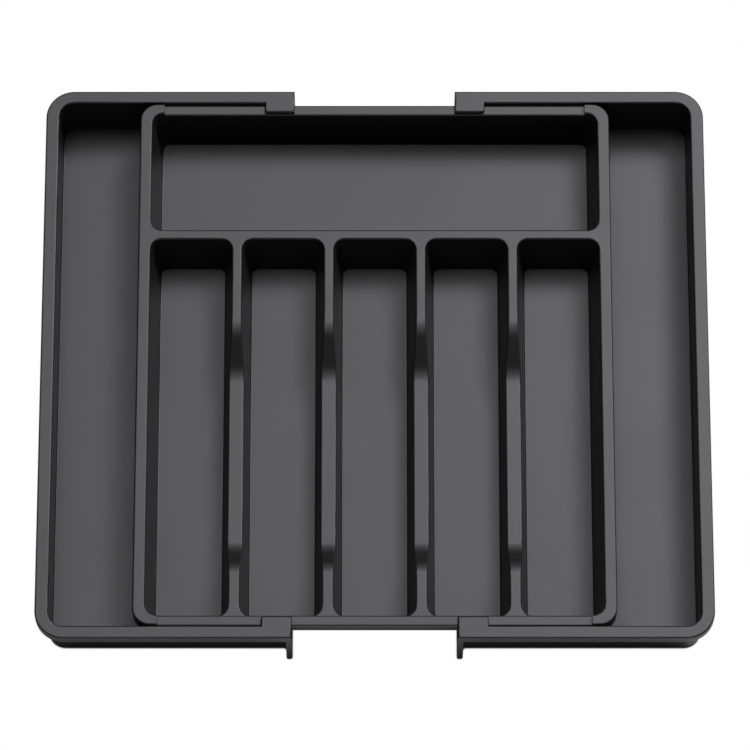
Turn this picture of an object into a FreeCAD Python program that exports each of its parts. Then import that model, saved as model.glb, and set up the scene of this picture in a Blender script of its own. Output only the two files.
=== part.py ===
"""Expandable cutlery tray: a centre tray with six compartments, and side trays that slide out from under it.

Millimetres, +Z up, +X to the right and +Y to the rear. The origin lies on the surface that the tray stands
on, under the middle of the centre tray. The side trays are drawn half pulled out. Each piece is written to
parts/.
"""

import FreeCAD
import Part
import math
import os

from FreeCAD import Vector

# Overall
tray_depth = 400.0
rim_height = 49.0
pulled_out_width = 459.6

# Clearances
running_gap = 0.3
hook_gap = 0.4
centre_gap = 0.6
pad_gap = 0.1
cut_overrun = 2.0
match = 0.01
steep_share = 0.5

# Side trays
side_length = 173.7
side_floor = 2.2
side_wall = 2.3
side_wall_lean = 0.4
side_end_lean = 1.0
side_rim_width = 9.25
side_end_rim_width = 8.95
side_rim_thick = 2.2
side_lip_height = 8.6
side_lip_thick = 1.8
side_corner_radius = 19.5
side_floor_corner_radius = 9.0
side_floor_round = 0.8
end_rib_thick = 3.9
hook_width = 20.8
hook_rail_show = 0.8
hook_corner_radius = 1.8
side_edge_round = 1.3

# Foot pads under the side trays
pad_diameter = 14.0
pad_height = 1.6
pad_sunk = 0.6
pad_end_inset = 16.0
pad_rim_inset = 26.0

# Centre tray
compartment_count = 5
compartment_width = 56.8
divider_top = 6.75
cross_wall_top = 6.65
rear_compartment_depth = 87.9
wall_lean = 5.75
centre_wall = 1.8
centre_floor = 1.8
centre_rim_thick = 2.0
side_rail_width = 8.4
end_rail_width = 7.05
rail_drop = 3.2
rail_ridge = 0.6
rail_edge_round = 1.3
rail_corner_length = 16.8
centre_lip_height = 9.8
centre_lip_thick = 1.6
centre_corner_radius = 12.0
mouth_corner_radius = 8.0
floor_corner_radius = 5.0
floor_round = 0.8
mouth_edge_round = 1.3

# Finger scoop across the dividers
scoop_drop = 15.0
scoop_rear_start = 153.9
scoop_rear_run = 42.0
scoop_rear_radius = 28.0
scoop_front_end = 29.4
scoop_front_run = 28.5
scoop_front_radius = 20.0

# Heights
pad_proud = pad_height - pad_sunk
side_floor_top = pad_proud + side_floor
centre_bottom = side_floor_top + running_gap
centre_floor_top = centre_bottom + centre_floor
compartment_depth = rim_height - centre_floor_top
rail_height = rim_height - rail_drop
low_divider_height = rail_height - rail_ridge
centre_lip_bottom = rail_height - centre_lip_height
side_lip_bottom = rim_height - side_lip_height
lean_slope = wall_lean / compartment_depth

# Plan of the side trays
half_depth = tray_depth / 2
side_outer = pulled_out_width / 2
side_end = side_outer - side_length
side_mouth_outer = side_outer - side_rim_width
side_mouth_half = half_depth - side_end_rim_width
side_mouth_radius = side_corner_radius - side_rim_width

# Plan of the centre tray
divider_pitch = compartment_width + divider_top
mouth_half_width = (compartment_count * compartment_width + (compartment_count - 1) * divider_top) / 2
centre_half_width = mouth_half_width + side_rail_width
centre_half_depth = side_mouth_half - centre_gap
mouth_half_depth = centre_half_depth - end_rail_width
cross_wall_rear = mouth_half_depth - rear_compartment_depth
cross_wall_front = cross_wall_rear - cross_wall_top
rail_corner = centre_half_width - rail_corner_length


def box(low, high):
    """A block between two opposite corners."""
    return Part.makeBox(high.x - low.x, high.y - low.y, high.z - low.z, low)


def rounded_wire(low_x, high_x, low_y, high_y, radius, z, square_low_x=False):
    """A closed rounded rectangle at height z, with square corners on its low X side if asked."""
    tip = radius * math.sqrt(0.5)
    corners = (
        (high_x, low_y, 1, -1),
        (high_x, high_y, 1, 1),
        (low_x, high_y, -1, 1),
        (low_x, low_y, -1, -1),
    )
    runs = []
    for x, y, side_x, side_y in corners:
        if square_low_x and side_x < 0:
            runs.append((Vector(x, y, z), Vector(x, y, z), None))
            continue
        middle = Vector(x - side_x * radius, y - side_y * radius, z)
        at_x = middle + Vector(side_x * radius, 0, 0)
        at_y = middle + Vector(0, side_y * radius, 0)
        bulge = middle + Vector(side_x * tip, side_y * tip, 0)
        first, last = (at_y, at_x) if side_x * side_y < 0 else (at_x, at_y)
        runs.append((first, last, Part.Arc(first, bulge, last).toShape()))
    edges = []
    for index, (first, last, arc) in enumerate(runs):
        if arc:
            edges.append(arc)
        edges.append(Part.makeLine(last, runs[(index + 1) % len(runs)][0]))
    return Part.Wire(edges)


def prism(wire, height):
    """The solid that a flat outline sweeps straight up."""
    return Part.Face(wire).extrude(Vector(0, 0, height))


def leaning(low_wire, high_wire):
    """The solid between two outlines, with straight walls from one to the other."""
    return Part.makeLoft([low_wire, high_wire], True, True)


def rounded_floor(solid, radius):
    """The solid with its lowest edges rounded."""
    low = solid.BoundBox.ZMin
    floor = min(solid.Faces, key=lambda face: face.CenterOfMass.z - low)
    return solid.makeFillet(radius, floor.Edges)


def compartment(low_x, high_x, low_y, high_y):
    """The space in a compartment of the centre tray whose mouth has the given sides."""
    over = lean_slope * cut_overrun
    mouth = rounded_wire(
        low_x - over,
        high_x + over,
        low_y - over,
        high_y + over,
        mouth_corner_radius,
        rim_height + cut_overrun,
    )
    floor = rounded_wire(
        low_x + wall_lean,
        high_x - wall_lean,
        low_y + wall_lean,
        high_y - wall_lean,
        floor_corner_radius,
        centre_floor_top,
    )
    return rounded_floor(leaning(floor, mouth), floor_round)


def compartments():
    """The spaces in all the compartments: the wide one at the rear, then the long ones, left to right."""
    spaces = [compartment(-mouth_half_width, mouth_half_width, cross_wall_rear, mouth_half_depth)]
    for index in range(compartment_count):
        low_x = index * divider_pitch - mouth_half_width
        spaces.append(compartment(low_x, low_x + compartment_width, -mouth_half_depth, cross_wall_front))
    return spaces


def slope(start, top, run, radius, toward):
    """Edges of an S-shaped slope down to the scoop from y = start at height top, and its end points.

    Two arcs of one radius join the level stretches to a straight one. The slope goes towards +Y or -Y.
    """
    low = rim_height - scoop_drop
    rise = 2 * radius - (top - low)
    reach = math.hypot(run, rise)
    angle = math.asin(2 * radius / reach) - math.atan2(rise, run)
    end = start + toward * run

    def on_arc(centre_y, centre_z, turn, side):
        along = side * toward * radius * math.sin(turn)
        return Vector(0, centre_y + along, centre_z + side * radius * math.cos(turn))

    crest = [on_arc(start, top - radius, turn, 1) for turn in (0, angle / 2, angle)]
    trough = [on_arc(end, low + radius, turn, -1) for turn in (angle, angle / 2, 0)]
    edges = [
        Part.Arc(*crest).toShape(),
        Part.makeLine(crest[2], trough[0]),
        Part.Arc(*trough).toShape(),
    ]
    return edges, crest[0], trough[2]


def scoop():
    """What is taken off the dividers: the finger scoop, then level out through the front of the rim."""
    rear_start = mouth_half_depth - scoop_rear_start
    front_end = scoop_front_end - mouth_half_depth
    rear, rear_crest, rear_low = slope(rear_start, rim_height, scoop_rear_run, scoop_rear_radius, -1)
    front_top = low_divider_height
    front, front_crest, front_low = slope(front_end, front_top, scoop_front_run, scoop_front_radius, 1)
    above = rim_height + cut_overrun
    outside = Vector(0, -centre_half_depth - cut_overrun, low_divider_height)
    outside_above = Vector(0, outside.y, above)
    rear_above = Vector(0, rear_crest.y, above)
    edges = rear + [Part.makeLine(rear_low, front_low)] + front
    edges.append(Part.makeLine(front_crest, outside))
    edges.append(Part.makeLine(outside, outside_above))
    edges.append(Part.makeLine(outside_above, rear_above))
    edges.append(Part.makeLine(rear_above, rear_crest))
    section = Part.Face(Part.Wire(Part.__sortEdges__(edges)))
    section.translate(Vector(-rail_corner, 0, 0))
    return section.extrude(Vector(2 * rail_corner, 0, 0))


def lean_at(z):
    """How far a compartment's wall has come in at height z."""
    return lean_slope * (rim_height - z)


def divider_hollow(sides_at):
    """The hollow under a divider. sides_at gives its low X, high X, low Y and high Y at a height."""
    wires = []
    for z in (centre_bottom - cut_overrun, rim_height - centre_rim_thick):
        low_x, high_x, low_y, high_y = sides_at(z)
        points = [
            Vector(low_x, low_y, z),
            Vector(high_x, low_y, z),
            Vector(high_x, high_y, z),
            Vector(low_x, high_y, z),
        ]
        wires.append(Part.makePolygon(points + points[:1]))
    return leaning(*wires)


def cross_hollow():
    """The hollow under the wall between the rear compartment and the long ones."""

    def sides_at(z):
        end = mouth_half_width - lean_at(z)
        spread = lean_at(z) - centre_wall
        return -end, end, cross_wall_front - spread, cross_wall_rear + spread

    return divider_hollow(sides_at)


def long_hollow(middle):
    """The hollow under the divider at x = middle, from the front wall to the cross wall's hollow."""

    def sides_at(z):
        half = divider_top / 2 + lean_at(z) - centre_wall
        return middle - half, middle + half, lean_at(z) - mouth_half_depth, cross_wall_rear

    return divider_hollow(sides_at)


def centre_rim():
    """The centre tray's rim with its hanging lip, hollow below, before the end rails are lowered."""

    def outline(inset, z):
        half_x = centre_half_width - inset
        half_y = centre_half_depth - inset
        return rounded_wire(-half_x, half_x, -half_y, half_y, centre_corner_radius - inset, z)

    rim = prism(outline(0, centre_lip_bottom), rim_height - centre_lip_bottom)
    low = centre_lip_bottom - cut_overrun
    under_rails = prism(outline(centre_lip_thick, low), rail_height - centre_rim_thick - low)
    under_rim = prism(outline(centre_lip_thick, low), rim_height - centre_rim_thick - low)
    between = rail_corner + centre_wall
    top = Vector(between, centre_half_depth, rim_height)
    under_corners = under_rim.cut(box(Vector(-between, -centre_half_depth, low), top))
    return rim.cut(under_rails).cut(under_corners)


def centre_walls():
    """The block that the centre tray's compartments are sunk in."""

    def outline(z):
        half_x = mouth_half_width + centre_wall - lean_at(z)
        half_y = mouth_half_depth + centre_wall - lean_at(z)
        radius = mouth_corner_radius + centre_wall
        return rounded_wire(-half_x, half_x, -half_y, half_y, radius, z)

    return leaning(outline(centre_bottom), outline(rim_height))


def top_edges(solid, lowest):
    """The edges above a height where a face that looks up meets one that drops away, and their middles."""
    found = []
    for edge in solid.Edges:
        middle = edge.valueAt((edge.FirstParameter + edge.LastParameter) / 2)
        if middle.z < lowest:
            continue
        faces = solid.ancestorsOfType(edge, Part.Face)
        lifts = sorted(face.normalAt(*face.Surface.parameter(middle)).z for face in faces)
        if lifts[0] < steep_share < lifts[-1]:
            found.append((edge, middle))
    return found


def on_rail_corner(point):
    """Whether a point lies on the step from a raised corner down to a rail."""
    return math.isclose(abs(point.x), rail_corner, abs_tol=match)


def centre_edges(body):
    """The centre tray's edges to round: every mouth, and the outer edge of the raised rim."""
    edges = []
    for edge, middle in top_edges(body, rim_height - scoop_drop - match):
        in_mouth = abs(middle.x) < mouth_half_width + match and abs(middle.y) < mouth_half_depth + match
        raised = middle.z > rim_height - match
        if (in_mouth or raised) and not on_rail_corner(middle):
            edges.append(edge)
    return edges


def rail(side):
    """The rounded rail between the raised corners of the rim, at the front (side -1) or rear (side 1)."""
    foot = low_divider_height - 2 * mouth_edge_round
    inner_foot = side * (mouth_half_depth - lean_at(foot))
    inner_top = side * (mouth_half_depth - lean_at(rail_height))
    outer = side * centre_half_depth
    points = [
        Vector(-rail_corner, inner_foot, foot),
        Vector(-rail_corner, inner_top, rail_height),
        Vector(-rail_corner, outer, rail_height),
        Vector(-rail_corner, outer, foot),
    ]
    bar = Part.Face(Part.makePolygon(points + points[:1])).extrude(Vector(2 * rail_corner, 0, 0))
    edges = [edge for edge, middle in top_edges(bar, rail_height - match) if not on_rail_corner(middle)]
    return bar.makeFillet(rail_edge_round, edges)


def centre_tray():
    """The centre tray: rim, walls, compartments, finger scoop, end rails and hollow dividers."""
    body = centre_rim().fuse(centre_walls())
    low = Vector(-rail_corner, mouth_half_depth - lean_at(low_divider_height), low_divider_height)
    high = Vector(rail_corner, centre_half_depth + cut_overrun, rim_height + cut_overrun)
    body = body.cut(box(low, high))
    taken_off = scoop()
    body = body.cut(taken_off)
    for space in compartments():
        body = body.cut(space)
    body = body.removeSplitter()
    body = body.makeFillet(mouth_edge_round, centre_edges(body))
    for side in (-1, 1):
        body = body.fuse(rail(side))
    under_scoop = taken_off.copy()
    under_scoop.translate(Vector(0, 0, -centre_rim_thick))
    hollows = cross_hollow()
    for index in range(1, compartment_count):
        middle = index * divider_pitch - mouth_half_width - divider_top / 2
        hollows = hollows.fuse(long_hollow(middle).cut(under_scoop))
    return body.cut(hollows)


def side_rim():
    """The right side tray's rim with its hanging lip, hollow below."""

    def outline(inset, end, z):
        half_y = half_depth - inset
        radius = side_corner_radius - inset
        return rounded_wire(end, side_outer - inset, -half_y, half_y, radius, z, True)

    rim = prism(outline(0, side_end, side_lip_bottom), side_lip_height)
    low = side_lip_bottom - cut_overrun
    hollow_end = side_end - cut_overrun
    hollow = prism(outline(side_lip_thick, hollow_end, low), rim_height - side_rim_thick - low)
    return rim.cut(hollow)


def side_outline(z, spread, end, radius):
    """The right side tray's wall line at height z, moved out by spread."""
    drop_share = (rim_height - z) / (rim_height - side_floor_top)
    high_x = side_mouth_outer - side_wall_lean * drop_share + spread
    half_y = side_mouth_half - side_end_lean * drop_share + spread
    return rounded_wire(end, high_x, -half_y, half_y, radius + spread, z, True)


def side_space():
    """The open space over the right side tray's floor, running out through its open end."""
    end = side_end - cut_overrun
    floor = side_outline(side_floor_top, 0, end, side_floor_corner_radius)
    mouth = side_outline(rim_height + cut_overrun, 0, end, side_mouth_radius)
    return rounded_floor(leaning(floor, mouth), side_floor_round)


def hook(side):
    """The right side tray's hook tab over the centre tray's rail, front (side -1) or rear (side 1)."""
    thick = rail_drop - hook_gap
    inner = mouth_half_depth + hook_rail_show
    low_y, high_y = sorted((side * inner, side * (side_mouth_half + side_wall)))
    high_x = side_end + hook_width
    tab = box(Vector(side_end, low_y, rim_height - thick), Vector(high_x, high_y, rim_height))
    corners = [edge for edge in tab.Edges if is_hook_corner(edge, high_x, side * inner)]
    return tab.makeFillet(hook_corner_radius, corners)


def is_hook_corner(edge, x, y):
    """Whether an edge stands upright at the given place."""
    middle = edge.CenterOfMass
    return math.isclose(middle.x, x) and math.isclose(middle.y, y)


def end_rib(side):
    """The rib that closes the right side tray's rim at its open end, front (side -1) or rear (side 1)."""
    low_y, high_y = sorted((side * side_mouth_half, side * half_depth))
    high = Vector(side_end + end_rib_thick, high_y, rim_height - side_rim_thick)
    return box(Vector(side_end, low_y, pad_proud), high)


def pad_places():
    """The name and middle of each foot pad of the right side tray."""
    columns = {"inner": side_end + pad_end_inset, "outer": side_outer - pad_rim_inset}
    rows = {"front": pad_rim_inset - half_depth, "rear": half_depth - pad_rim_inset}
    return {f"{row}_{column}": Vector(x, y, 0) for row, y in rows.items() for column, x in columns.items()}


def side_tray():
    """The right side tray: floor, three walls, rim, hook tabs, end ribs and seats for its foot pads."""
    low = side_outline(pad_proud, side_wall, side_end, side_floor_corner_radius)
    high = side_outline(rim_height, side_wall, side_end, side_mouth_radius)
    body = leaning(low, high).fuse(side_rim())
    for side in (-1, 1):
        body = body.fuse(end_rib(side))
    body = body.cut(side_space())
    for side in (-1, 1):
        body = body.fuse(hook(side))
    body = body.removeSplitter()
    body = body.makeFillet(side_edge_round, [edge for edge, middle in top_edges(body, rim_height - match)])
    for place in pad_places().values():
        body = body.cut(Part.makeCylinder(pad_diameter / 2 + pad_gap, pad_height, place))
    return body


def mirrored(shape):
    """The left side's copy of a piece of the right side."""
    return shape.mirror(Vector(0, 0, 0), Vector(1, 0, 0))


def pieces():
    """Every piece by name."""
    right = {"tray": side_tray()}
    for place_name, place in pad_places().items():
        right[f"foot_{place_name}"] = Part.makeCylinder(pad_diameter / 2, pad_height, place)
    made = {"centre_tray": centre_tray()}
    for name, shape in right.items():
        made[f"right_{name}"] = shape
        made[f"left_{name}"] = mirrored(shape)
    return made


os.makedirs("parts", exist_ok=True)
for node, shape in pieces().items():
    shape.exportStep(f"parts/{node}.step")
    print(node, len(shape.Solids), shape.isValid(), round(shape.Volume))
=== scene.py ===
"""Looks of an expandable cutlery tray: three charcoal mouldings on soft grip pads, in a plain studio.

Metres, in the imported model's frame: +X to the right along the slides, +Y to the rear, +Z up.
"""

import logging
import math
from dataclasses import dataclass
from enum import Enum

import bmesh
import bpy
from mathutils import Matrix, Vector


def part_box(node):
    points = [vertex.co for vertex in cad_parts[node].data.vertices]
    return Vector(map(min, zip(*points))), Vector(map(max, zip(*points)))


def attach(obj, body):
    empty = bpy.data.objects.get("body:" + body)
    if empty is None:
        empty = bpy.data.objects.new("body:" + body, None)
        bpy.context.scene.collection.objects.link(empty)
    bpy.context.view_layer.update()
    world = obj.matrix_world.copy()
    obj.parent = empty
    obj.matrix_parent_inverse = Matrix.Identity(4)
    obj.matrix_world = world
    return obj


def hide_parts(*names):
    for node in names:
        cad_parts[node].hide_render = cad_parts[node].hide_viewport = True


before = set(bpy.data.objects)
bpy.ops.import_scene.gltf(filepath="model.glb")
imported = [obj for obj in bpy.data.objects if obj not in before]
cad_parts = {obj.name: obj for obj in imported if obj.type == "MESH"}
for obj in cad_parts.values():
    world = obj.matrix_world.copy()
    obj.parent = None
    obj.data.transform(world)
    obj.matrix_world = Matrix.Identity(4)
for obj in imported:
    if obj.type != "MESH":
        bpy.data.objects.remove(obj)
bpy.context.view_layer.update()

LOG = logging.getLogger("cutlery_tray")
MM = 0.001

Colour = tuple[float, float, float]
Point = tuple[float, float, float]
Span = tuple[float, float]

WHITE: Colour = (1.0, 1.0, 1.0)
NOISE_DETAIL = 4.0
GRAIN_ROUGHNESS = 0.6
DRIFT_SCALE = 14.0
DRIFT_SHIFTS = {"Gloss": (0.31, 0.17, 0.0), "Shade": (-0.23, 0.41, 0.2)}
SHADE_SPAN: Span = (0.35, 0.65)
GLOSS_SPAN: Span = (0.3, 0.7)
NEAR_ZERO = 1e-6


class Side(Enum):
    """The two sides that the tray widens to."""

    LEFT = "left"
    RIGHT = "right"

    @property
    def body(self) -> str:
        """The body that slides out to this side."""
        return f"{self.value}_side"


class Slot(Enum):
    """The record's material slots."""

    PLASTIC = "tray_plastic"
    PAD = "foot_pad"


def opaque(colour: Colour) -> tuple[float, float, float, float]:
    """The colour with full alpha, as colour sockets take it."""
    return (*colour, 1.0)


class NodeGraph:
    """Nodes and links of one material, group, world or geometry tree, made in short calls."""

    def __init__(self, tree: bpy.types.NodeTree) -> None:
        """Starts from an empty tree.

        Args:
            tree: The node tree to fill.
        """
        self.tree = tree
        tree.nodes.clear()

    def node(self, kind: str, **settings: object) -> bpy.types.Node:
        """Adds a node.

        Args:
            kind: The node's type name in Blender.
            settings: Properties of the node to set.

        Returns:
            The new node.
        """
        made = self.tree.nodes.new(kind)
        for name, value in settings.items():
            setattr(made, name, value)
        return made

    def link(self, source: bpy.types.NodeSocket, target: bpy.types.NodeSocket) -> None:
        """Joins an output socket to an input socket."""
        self.tree.links.new(source, target)

    def math(self, operation: str, *values: float | bpy.types.NodeSocket) -> bpy.types.NodeSocket:
        """Adds a math node.

        Args:
            operation: The node's operation.
            values: Its inputs in order, as numbers or as sockets to link.

        Returns:
            Its output socket.
        """
        made = self.node("ShaderNodeMath", operation=operation)
        for socket, value in zip(made.inputs, values):
            if isinstance(value, bpy.types.NodeSocket):
                self.link(value, socket)
            else:
                socket.default_value = value
        return made.outputs["Value"]

    def map_range(
        self, value: bpy.types.NodeSocket, span: Span, onto: Span = (0.0, 1.0)
    ) -> bpy.types.NodeSocket:
        """Adds a map range node.

        Args:
            value: The socket to map.
            span: The values that map to the ends.
            onto: The ends.

        Returns:
            Its output socket.
        """
        made = self.node("ShaderNodeMapRange")
        for name, number in zip(("From Min", "From Max", "To Min", "To Max"), (*span, *onto)):
            made.inputs[name].default_value = number
        self.link(value, made.inputs["Value"])
        return made.outputs["Result"]

    def camera_switch(
        self, lit: bpy.types.NodeSocket, seen: bpy.types.NodeSocket
    ) -> bpy.types.NodeSocket:
        """Adds nodes that show one shader to the camera and another to every other ray.

        Args:
            lit: The shader for every other ray.
            seen: The shader for the camera.

        Returns:
            The shader socket of both.
        """
        made = self.node("ShaderNodeMixShader")
        self.link(self.node("ShaderNodeLightPath").outputs["Is Camera Ray"], made.inputs["Fac"])
        self.link(lit, made.inputs[1])
        self.link(seen, made.inputs[2])
        return made.outputs["Shader"]

    def group(self, tree: bpy.types.NodeTree, **values: float) -> bpy.types.Node:
        """Places a shader node group.

        Args:
            tree: The group's own tree.
            values: Its inputs by name, with underscores for spaces.

        Returns:
            The group node.
        """
        made = self.node("ShaderNodeGroup", node_tree=tree)
        for name, value in values.items():
            made.inputs[name.replace("_", " ")].default_value = value
        return made


def new_group(name: str, inputs: dict[str, float], outputs: list[str]) -> tuple[NodeGraph, dict, dict]:
    """Makes an empty shader node group with float sockets.

    Args:
        name: The group's name.
        inputs: Input names and their default values.
        outputs: Output names.

    Returns:
        The graph to fill, the group's input sockets by name and its output sockets by name.
    """
    tree = bpy.data.node_groups.new(name, "ShaderNodeTree")
    for socket, value in inputs.items():
        made = tree.interface.new_socket(socket, in_out="INPUT", socket_type="NodeSocketFloat")
        made.default_value = value
    for socket in outputs:
        tree.interface.new_socket(socket, in_out="OUTPUT", socket_type="NodeSocketFloat")
    graph = NodeGraph(tree)
    given = graph.node("NodeGroupInput")
    wanted = graph.node("NodeGroupOutput")
    sources = {socket.name: socket for socket in given.outputs if socket.name}
    targets = {socket.name: socket for socket in wanted.inputs if socket.name}
    return graph, sources, targets


def moulded_grain() -> bpy.types.NodeTree:
    """Builds the group for a moulded surface: fine eroded grain, and slow drifts in gloss and shade.

    Returns:
        A group with a Height for bump, a Gloss drift and a Shade drift, each about 0 to 1.
    """
    inputs = {"Grain Scale": 1.0, "Drift Scale": DRIFT_SCALE}
    graph, given, wanted = new_group("moulded_grain", inputs, ["Height", *DRIFT_SHIFTS])
    place = graph.node("ShaderNodeTexCoord").outputs["Object"]

    grain = graph.node("ShaderNodeTexNoise")
    grain.inputs["Detail"].default_value = NOISE_DETAIL
    grain.inputs["Roughness"].default_value = GRAIN_ROUGHNESS
    graph.link(place, grain.inputs["Vector"])
    graph.link(given["Grain Scale"], grain.inputs["Scale"])
    graph.link(grain.outputs["Fac"], wanted["Height"])

    for output, shift in DRIFT_SHIFTS.items():
        moved = graph.node("ShaderNodeMapping")
        moved.inputs["Location"].default_value = shift
        graph.link(place, moved.inputs["Vector"])
        drift = graph.node("ShaderNodeTexNoise")
        drift.inputs["Detail"].default_value = NOISE_DETAIL
        graph.link(moved.outputs["Vector"], drift.inputs["Vector"])
        graph.link(given["Drift Scale"], drift.inputs["Scale"])
        graph.link(drift.outputs["Fac"], wanted[output])
    return graph.tree


@dataclass(frozen=True)
class MouldedFinish:
    """A matt moulded surface whose grain, gloss and shade come from the shared group.

    Attributes:
        name: The material's name.
        dark: Colour where the shade drift is low.
        light: Colour where it is high.
        smooth: Roughness where the gloss drift is high.
        rough: Roughness where it is low.
        grain_scale: How fine the grain is.
        grain_depth: How deep the grain is, in metres.
        specular: The Principled shader's specular level.
    """

    name: str
    dark: Colour
    light: Colour
    smooth: float
    rough: float
    grain_scale: float
    grain_depth: float
    specular: float

    def material(self, grain: bpy.types.NodeTree) -> bpy.types.Material:
        """Builds the material.

        Args:
            grain: The shared group of moulded grain.

        Returns:
            The finished material.
        """
        made = bpy.data.materials.new(self.name)
        made.use_nodes = True
        graph = NodeGraph(made.node_tree)
        surface = graph.group(grain, Grain_Scale=self.grain_scale)

        shade = graph.node("ShaderNodeValToRGB")
        for stop, place, colour in zip(shade.color_ramp.elements, SHADE_SPAN, (self.dark, self.light)):
            stop.position = place
            stop.color = opaque(colour)
        graph.link(surface.outputs["Shade"], shade.inputs["Fac"])
        gloss = graph.map_range(surface.outputs["Gloss"], GLOSS_SPAN, (self.rough, self.smooth))

        bump = graph.node("ShaderNodeBump")
        bump.inputs["Distance"].default_value = self.grain_depth
        graph.link(surface.outputs["Height"], bump.inputs["Height"])

        shader = graph.node("ShaderNodeBsdfPrincipled")
        shader.inputs["Specular IOR Level"].default_value = self.specular
        graph.link(shade.outputs["Color"], shader.inputs["Base Color"])
        graph.link(gloss, shader.inputs["Roughness"])
        graph.link(bump.outputs["Normal"], shader.inputs["Normal"])
        graph.link(shader.outputs["BSDF"], graph.node("ShaderNodeOutputMaterial").inputs["Surface"])
        return made


CHARCOAL_PLASTIC = MouldedFinish(
    name="charcoal_plastic",
    dark=(0.0064, 0.0064, 0.0067),
    light=(0.0076, 0.0076, 0.0079),
    smooth=0.443,
    rough=0.457,
    grain_scale=1100.0,
    grain_depth=0.00006,
    specular=0.5,
)
PAD_RUBBER = MouldedFinish(
    name="pad_rubber",
    dark=(0.014, 0.014, 0.014),
    light=(0.026, 0.026, 0.025),
    smooth=0.72,
    rough=0.88,
    grain_scale=1500.0,
    grain_depth=0.00006,
    specular=0.35,
)


def finished_piece(mesh: bpy.types.Mesh, body: str, nodes: list[str]) -> bpy.types.Object:
    """Puts a finished mesh in the scene as a piece of the tray, under the mesh's name.

    Args:
        mesh: The piece's mesh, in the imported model's frame, with its material.
        body: The body that it rides on.
        nodes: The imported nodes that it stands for.

    Returns:
        The piece.
    """
    piece = bpy.data.objects.new(mesh.name, mesh)
    bpy.context.scene.collection.objects.link(piece)
    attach(piece, body)
    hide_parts(*nodes)
    return piece


@dataclass
class Moulding:
    """One of the tray's plastic mouldings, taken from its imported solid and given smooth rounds.

    Attributes:
        node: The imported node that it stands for.
        body: The body that it rides on.
        merge: Corners nearer than this are one corner.
        crease: Edges that turn more than this, in degrees, stay sharp.
        level: Faces that turn less than this from each other, in degrees, are one flat.
        lead: How strongly a larger flat sets the normals along its edge.
    """

    node: str
    body: str
    merge: float = 0.001 * MM
    crease: float = 40.0
    level: float = 0.3
    lead: int = 3

    def build(self) -> bpy.types.Mesh:
        """Makes the moulding's mesh.

        Returns:
            A closed mesh with flat faces kept flat and rounds shaded smooth.
        """
        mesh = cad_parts[self.node].data.copy()
        mesh.name = f"{self.node}_moulding"
        shell = bmesh.new()
        shell.from_mesh(mesh)
        bmesh.ops.remove_doubles(shell, verts=shell.verts[:], dist=self.merge)
        normals = self.normals(shell)
        shell.to_mesh(mesh)
        shell.free()
        mesh.shade_smooth()
        mesh.set_sharp_from_angle(angle=math.radians(self.crease))
        mesh.normals_split_custom_set(normals)
        return mesh

    def normals(self, shell: bmesh.types.BMesh) -> list[Vector]:
        """Finds a normal for each corner of each face, so that flats stay flat beside the rounds.

        Args:
            shell: The moulding's mesh.

        Returns:
            The normals, in the order of the faces and their corners.
        """
        shell.normal_update()
        shell.faces.index_update()
        areas = self.flat_areas(shell)
        found = {}
        for corner in shell.verts:
            waiting = set(corner.link_faces)
            while waiting:
                fan = self.fan(corner, waiting.pop())
                waiting -= fan
                leads = (face.normal * areas[face.index] ** self.lead for face in fan)
                normal = sum(leads, Vector()).normalized()
                found.update(((face, corner), normal) for face in fan)
        return [found[face, corner] for face in shell.faces for corner in face.verts]

    def fan(self, corner: bmesh.types.BMVert, face: bmesh.types.BMFace) -> set[bmesh.types.BMFace]:
        """Collects the faces round a corner that run on smoothly from one of them.

        Args:
            corner: The corner.
            face: The face to start from.

        Returns:
            The faces, with the first.
        """
        fan = {face}
        waiting = [face]
        while waiting:
            for edge in waiting.pop().edges:
                if corner in edge.verts and edge.calc_face_angle(math.pi) < math.radians(self.crease):
                    waiting += [other for other in edge.link_faces if other not in fan]
                    fan.update(edge.link_faces)
        return fan

    def flat_areas(self, shell: bmesh.types.BMesh) -> dict[int, float]:
        """Measures the flat that each face is part of.

        Args:
            shell: The moulding's mesh.

        Returns:
            The flat's area in square millimetres, by the face's index.
        """
        level = math.radians(self.level)
        areas = {}
        for first in shell.faces:
            if first.index in areas:
                continue
            flat = {first}
            waiting = [first]
            while waiting:
                beside = {other for edge in waiting.pop().edges for other in edge.link_faces} - flat
                beside = {other for other in beside if other.normal.angle(first.normal, math.pi) < level}
                waiting += beside
                flat |= beside
            area = sum(face.calc_area() for face in flat) / MM**2
            areas.update((face.index, area) for face in flat)
        return areas

    def dress(self, mesh: bpy.types.Mesh, finish: bpy.types.Material) -> bpy.types.Object:
        """Gives the mesh its finish and puts it in the scene.

        Args:
            mesh: The moulding's mesh.
            finish: The material.

        Returns:
            The piece.
        """
        mesh.materials.clear()
        mesh.materials.append(finish)
        return finished_piece(mesh, self.body, [self.node])


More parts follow.
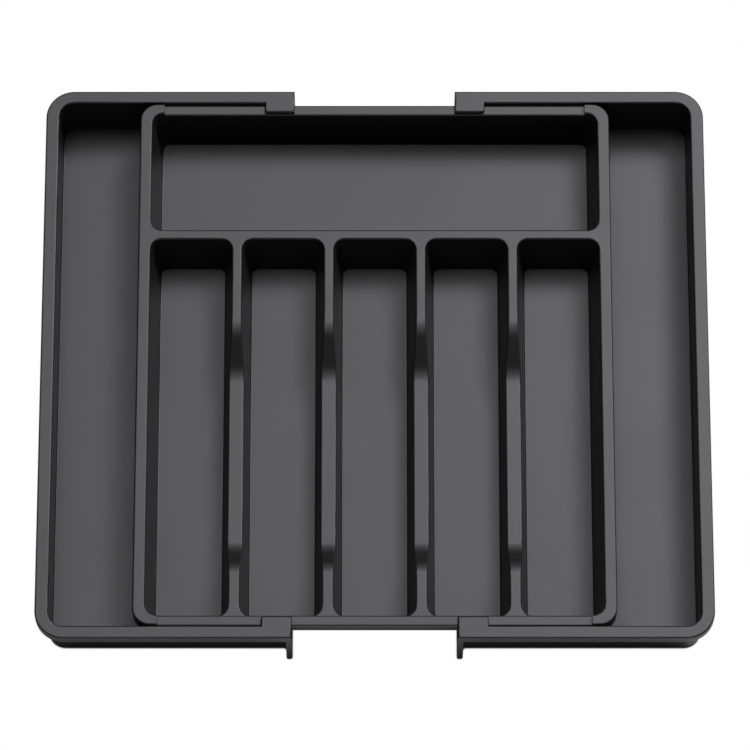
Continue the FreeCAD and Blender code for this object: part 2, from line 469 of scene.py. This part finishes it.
@dataclass
class GripFeet:
    """The soft pads under one side tray, each a rounded puck with rings of nubs that grip the drawer.

    Attributes:
        side: The side tray that they are under.
        radius: A puck's radius.
        height: From the drawer to the bottom of the seat in the tray.
        tread: How far the nubs stand out below the puck.
        edge: How square the puck's edge is, from 1 for a ball towards 0 for a sharp edge.
        nub_radius: A nub's radius.
        nub_sunk: How deep a nub is set in the puck.
        ring_pitch: From one ring of nubs to the next.
        rings: How many rings of nubs there are round the middle one.
        ring_step: How many more nubs each ring has than the one inside it.
        puck_faces: How many faces a puck has around and from pole to pole.
        nub_faces: The same for a nub.
    """

    side: Side
    radius: float = 7.0 * MM
    height: float = 1.6 * MM
    tread: float = 0.35 * MM
    edge: float = 0.22
    nub_radius: float = 0.55 * MM
    nub_sunk: float = 0.15 * MM
    ring_pitch: float = 1.85 * MM
    rings: int = 3
    ring_step: int = 6
    puck_faces: tuple[int, int] = (48, 24)
    nub_faces: tuple[int, int] = (8, 5)

    def nodes(self) -> list[str]:
        """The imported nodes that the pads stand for."""
        corners = [(row, column) for row in ("front", "rear") for column in ("inner", "outer")]
        return [f"{self.side.value}_foot_{row}_{column}" for row, column in corners]

    def sizes(self) -> dict[str, float]:
        """Lists the sizes that the geometry tree takes.

        Returns:
            The sizes in metres, or as shares, by the names of the tree's inputs.
        """
        return {
            "Radius": self.radius,
            "Height": self.height,
            "Tread": self.tread,
            "Edge": self.edge,
            "Nub Radius": self.nub_radius,
            "Nub Sunk": self.nub_sunk,
            "Ring Pitch": self.ring_pitch,
        }

    def places(self) -> list[Vector]:
        """Where each pad meets the drawer, under its middle."""
        corners = [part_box(node) for node in self.nodes()]
        return [Vector(((low.x + high.x) / 2, (low.y + high.y) / 2, low.z)) for low, high in corners]

    def build(self, finish: bpy.types.Material) -> bpy.types.Mesh:
        """Makes the pads' mesh with geometry nodes.

        Args:
            finish: The pads' material.

        Returns:
            A plain mesh of all four pads.
        """
        places = bpy.data.meshes.new("pad_places")
        places.from_pydata(self.places(), [], [])
        holder = bpy.data.objects.new("pad_holder", places)
        bpy.context.scene.collection.objects.link(holder)
        tree = self.tree(finish)
        pads = holder.modifiers.new("pads", "NODES")
        pads.node_group = tree
        sizes = self.sizes()
        for socket in tree.interface.items_tree:
            if socket.in_out == "INPUT" and socket.name in sizes:
                pads[socket.identifier] = sizes[socket.name]
        evaluated = holder.evaluated_get(bpy.context.evaluated_depsgraph_get())
        made = bpy.data.meshes.new_from_object(evaluated)
        made.name = f"{self.side.value}_grip_feet"
        holder.modifiers.remove(pads)
        bpy.data.objects.remove(holder)
        return made

    def tree(self, finish: bpy.types.Material) -> bpy.types.NodeTree:
        """Builds the geometry tree that puts a pad on each point of a mesh.

        Args:
            finish: The pads' material.

        Returns:
            The tree, with the pad's sizes as named inputs.
        """
        tree = bpy.data.node_groups.new(f"{self.side.value}_grip_feet", "GeometryNodeTree")
        tree.interface.new_socket("Places", in_out="INPUT", socket_type="NodeSocketGeometry")
        for name in self.sizes():
            tree.interface.new_socket(name, in_out="INPUT", socket_type="NodeSocketFloat")
        tree.interface.new_socket("Pads", in_out="OUTPUT", socket_type="NodeSocketGeometry")
        graph = NodeGraph(tree)
        given = graph.node("NodeGroupInput").outputs

        pad = graph.node("GeometryNodeJoinGeometry")
        graph.link(self.puck(graph, given), pad.inputs["Geometry"])
        graph.link(self.nubs(graph, given), pad.inputs["Geometry"])
        smooth = graph.node("GeometryNodeSetShadeSmooth")
        graph.link(pad.outputs["Geometry"], smooth.inputs["Geometry"])
        placed = graph.node("GeometryNodeInstanceOnPoints")
        graph.link(given["Places"], placed.inputs["Points"])
        graph.link(smooth.outputs["Geometry"], placed.inputs["Instance"])
        realized = graph.node("GeometryNodeRealizeInstances")
        graph.link(placed.outputs["Instances"], realized.inputs["Geometry"])
        dressed = graph.node("GeometryNodeSetMaterial")
        dressed.inputs["Material"].default_value = finish
        graph.link(realized.outputs["Geometry"], dressed.inputs["Geometry"])
        graph.link(dressed.outputs["Geometry"], graph.node("NodeGroupOutput").inputs["Pads"])
        return tree

    @staticmethod
    def ball(graph: NodeGraph, faces: tuple[int, int]) -> bpy.types.NodeSocket:
        """Adds a ball with a radius of one.

        Args:
            graph: The pad's tree.
            faces: How many faces it has around and from pole to pole.

        Returns:
            The ball's geometry.
        """
        made = graph.node("GeometryNodeMeshUVSphere")
        for socket, count in zip(("Segments", "Rings"), faces):
            made.inputs[socket].default_value = count
        made.inputs["Radius"].default_value = 1.0
        return made.outputs["Mesh"]

    def puck(self, graph: NodeGraph, given: bpy.types.NodeOutputs) -> bpy.types.NodeSocket:
        """Adds the nodes that square a ball off into a rounded puck.

        Args:
            graph: The pad's tree.
            given: The tree's inputs.

        Returns:
            The puck's geometry.
        """
        at = graph.node("ShaderNodeSeparateXYZ")
        graph.link(graph.node("GeometryNodeInputPosition").outputs["Position"], at.inputs["Vector"])
        x, y, z = at.outputs
        squares = [graph.math("MULTIPLY", part, part) for part in (x, y)]
        out = graph.math("MAXIMUM", graph.math("SQRT", graph.math("ADD", *squares)), NEAR_ZERO)
        spread = graph.math("DIVIDE", graph.math("POWER", out, given["Edge"]), out)
        spread = graph.math("MULTIPLY", spread, given["Radius"])
        rise = graph.math("POWER", graph.math("ABSOLUTE", z), given["Edge"])
        rise = graph.math("MULTIPLY", graph.math("SIGN", z), rise)
        half = graph.math("MULTIPLY", graph.math("SUBTRACT", given["Height"], given["Tread"]), 0.5)
        middle = graph.math("MULTIPLY", graph.math("ADD", given["Height"], given["Tread"]), 0.5)
        place = graph.node("ShaderNodeCombineXYZ")
        graph.link(graph.math("MULTIPLY", x, spread), place.inputs["X"])
        graph.link(graph.math("MULTIPLY", y, spread), place.inputs["Y"])
        graph.link(graph.math("ADD", graph.math("MULTIPLY", rise, half), middle), place.inputs["Z"])
        shaped = graph.node("GeometryNodeSetPosition")
        graph.link(self.ball(graph, self.puck_faces), shaped.inputs["Geometry"])
        graph.link(place.outputs["Vector"], shaped.inputs["Position"])
        return shaped.outputs["Geometry"]

    def nubs(self, graph: NodeGraph, given: bpy.types.NodeOutputs) -> bpy.types.NodeSocket:
        """Adds the nodes that set rings of nubs in the puck's underside.

        Args:
            graph: The pad's tree.
            given: The tree's inputs.

        Returns:
            The nubs as instances.
        """
        spots = graph.node("GeometryNodeJoinGeometry")
        graph.link(graph.node("GeometryNodePoints").outputs["Points"], spots.inputs["Geometry"])
        for ring in range(1, self.rings + 1):
            circle = graph.node("GeometryNodeMeshCircle")
            circle.inputs["Vertices"].default_value = self.ring_step * ring
            graph.link(graph.math("MULTIPLY", given["Ring Pitch"], ring), circle.inputs["Radius"])
            graph.link(circle.outputs["Mesh"], spots.inputs["Geometry"])
        depth = graph.math("ADD", given["Tread"], given["Nub Sunk"])
        size = graph.node("ShaderNodeCombineXYZ")
        graph.link(given["Nub Radius"], size.inputs["X"])
        graph.link(given["Nub Radius"], size.inputs["Y"])
        graph.link(depth, size.inputs["Z"])
        place = graph.node("ShaderNodeCombineXYZ")
        graph.link(depth, place.inputs["Z"])
        nub = graph.node("GeometryNodeTransform")
        graph.link(self.ball(graph, self.nub_faces), nub.inputs["Geometry"])
        graph.link(place.outputs["Vector"], nub.inputs["Translation"])
        graph.link(size.outputs["Vector"], nub.inputs["Scale"])
        placed = graph.node("GeometryNodeInstanceOnPoints")
        graph.link(spots.outputs["Geometry"], placed.inputs["Points"])
        graph.link(nub.outputs["Geometry"], placed.inputs["Instance"])
        return placed.outputs["Instances"]

    def dress(self, mesh: bpy.types.Mesh) -> bpy.types.Object:
        """Puts the pads in the scene on their side tray."""
        return finished_piece(mesh, self.side.body, self.nodes())


@dataclass(frozen=True)
class Softbox:
    """A softbox of the studio, far enough off to light the whole tray alike.

    Attributes:
        name: Its name.
        bearing: Its direction from +X towards +Y, in degrees.
        height: Its angle above the floor, in degrees.
        width: The width of its square face.
        power: Its power in watts.
        reach: Its distance from the tray.
        colour: Its colour.
    """

    name: str
    bearing: float
    height: float
    width: float
    power: float
    reach: float = 6.0
    colour: Colour = (1.0, 1.0, 1.04)

    def build(self) -> bpy.types.Object:
        """Hangs the softbox, unseen by the camera.

        Returns:
            The lamp.
        """
        data = bpy.data.lights.new(self.name, "AREA")
        data.shape = "SQUARE"
        data.size = self.width
        data.energy = self.power
        data.color = self.colour
        lamp = bpy.data.objects.new(self.name, data)
        bpy.context.scene.collection.objects.link(lamp)
        bearing, height = math.radians(self.bearing), math.radians(self.height)
        level = math.cos(height)
        towards = Vector((math.cos(bearing) * level, math.sin(bearing) * level, math.sin(height)))
        lamp.location = self.reach * towards
        lamp.rotation_euler = (-lamp.location).to_track_quat("-Z", "Y").to_euler()
        lamp.visible_camera = False
        return lamp


SOFTBOXES = (
    Softbox("key_softbox", bearing=51.0, height=56.0, width=1.7, power=226.0),
    Softbox("top_softbox", bearing=78.0, height=75.0, width=2.8, power=106.0),
    Softbox("left_softbox", bearing=136.0, height=67.0, width=2.9, power=50.0),
    Softbox("right_softbox", bearing=25.0, height=33.0, width=1.7, power=82.0),
    Softbox("front_strip", bearing=270.0, height=7.0, width=1.4, power=32.0),
)


@dataclass
class Studio:
    """The plain pale floor, the soft light and the camera.

    Attributes:
        eye: Where the camera stands.
        aim: The point at the middle of its picture.
        lens: Focal length in millimetres on the sensor.
        sensor: Sensor width in millimetres.
        floor_half: Half the floor's width.
        floor_bounce: How much light the floor throws back at the tray.
        ambient: How bright the room is from every side.
        painted_shadow_reach: How far from the tray the painted shadow on the floor reaches.
        painted_shadow_span: How open the floor is where its painted shadow is black and where the floor
            is white.
        softboxes: The lights.
    """

    eye: Point = (0.00021, -1.1530, 3.2092)
    aim: Point = (0.00021, -0.0115, 0.049)
    lens: float = 234.96
    sensor: float = 36.0
    floor_half: float = 40.0
    floor_bounce: float = 0.8
    ambient: float = 0.03
    # Reach and span of the painted shadow that darkens the floor at the tray's foot.
    painted_shadow_reach: float = 2.5 * MM
    painted_shadow_span: Span = (0.5, 0.75)
    softboxes: tuple[Softbox, ...] = SOFTBOXES

    def build(self) -> None:
        """Makes the floor, the room, the lights and the camera."""
        self.build_floor()
        self.build_room()
        for softbox in self.softboxes:
            softbox.build()
        self.build_camera()
        bpy.context.scene.view_settings.view_transform = "Standard"

    def build_floor(self) -> None:
        """Lays a floor that looks white to the camera, with a painted shadow that darkens it right by
        the tray's edges, and throws back only part of the light.
        """
        mesh = bpy.data.meshes.new("floor")
        half = self.floor_half
        corners = [(-half, -half, 0.0), (half, -half, 0.0), (half, half, 0.0), (-half, half, 0.0)]
        mesh.from_pydata(corners, [], [(0, 1, 2, 3)])
        floor = bpy.data.objects.new("floor", mesh)
        bpy.context.scene.collection.objects.link(floor)

        paint = bpy.data.materials.new("floor_paint")
        paint.use_nodes = True
        graph = NodeGraph(paint.node_tree)
        # Painted shadow: the floor's glow seen by the camera is turned down where the tray crowds it,
        # standing in for the tray's shadow at its foot.
        painted_shadow_ao = graph.node("ShaderNodeAmbientOcclusion")
        painted_shadow_ao.inputs["Distance"].default_value = self.painted_shadow_reach
        seen = graph.node("ShaderNodeEmission")
        graph.link(graph.map_range(painted_shadow_ao.outputs["AO"], self.painted_shadow_span), seen.inputs["Color"])
        bounced = graph.node("ShaderNodeBsdfDiffuse")
        bounced.inputs["Color"].default_value = opaque((self.floor_bounce,) * 3)
        paint_shader = graph.camera_switch(bounced.outputs["BSDF"], seen.outputs["Emission"])
        graph.link(paint_shader, graph.node("ShaderNodeOutputMaterial").inputs["Surface"])
        mesh.materials.append(paint)

    def build_room(self) -> None:
        """Sets the light that comes from every side, and a white background for the camera."""
        world = bpy.data.worlds.new("room")
        world.use_nodes = True
        graph = NodeGraph(world.node_tree)
        lighting = graph.node("ShaderNodeBackground")
        lighting.inputs["Strength"].default_value = self.ambient
        seen = graph.node("ShaderNodeBackground")
        for background in (lighting, seen):
            background.inputs["Color"].default_value = opaque(WHITE)
        room_shader = graph.camera_switch(lighting.outputs["Background"], seen.outputs["Background"])
        graph.link(room_shader, graph.node("ShaderNodeOutputWorld").inputs["Surface"])
        bpy.context.scene.world = world

    def build_camera(self) -> None:
        """Stands the camera at the photograph's angle."""
        data = bpy.data.cameras.new("camera")
        data.lens = self.lens
        data.sensor_width = self.sensor
        camera = bpy.data.objects.new("camera", data)
        bpy.context.scene.collection.objects.link(camera)
        camera.location = self.eye
        camera.rotation_euler = (Vector(self.aim) - Vector(self.eye)).to_track_quat("-Z", "Y").to_euler()
        bpy.context.scene.camera = camera


def main() -> None:
    """Builds the studio, then each piece of the tray, and reports them."""
    logging.basicConfig(level=logging.INFO, format="%(name)s: %(message)s")
    Studio().build()
    grain = moulded_grain()
    plastic = CHARCOAL_PLASTIC.material(grain)
    rubber = PAD_RUBBER.material(grain)

    mouldings = [Moulding("centre_tray", "centre")]
    mouldings += [Moulding(f"{side.value}_tray", side.body) for side in Side]
    for moulding in mouldings:
        piece = moulding.dress(moulding.build(), plastic)
        LOG.info("%s: %d faces on %s", piece.name, len(piece.data.polygons), moulding.body)
    for side in Side:
        pads = GripFeet(side)
        piece = pads.dress(pads.build(rubber))
        LOG.info("%s: %d faces on %s", piece.name, len(piece.data.polygons), side.body)


if __name__ == "__main__":
    main()
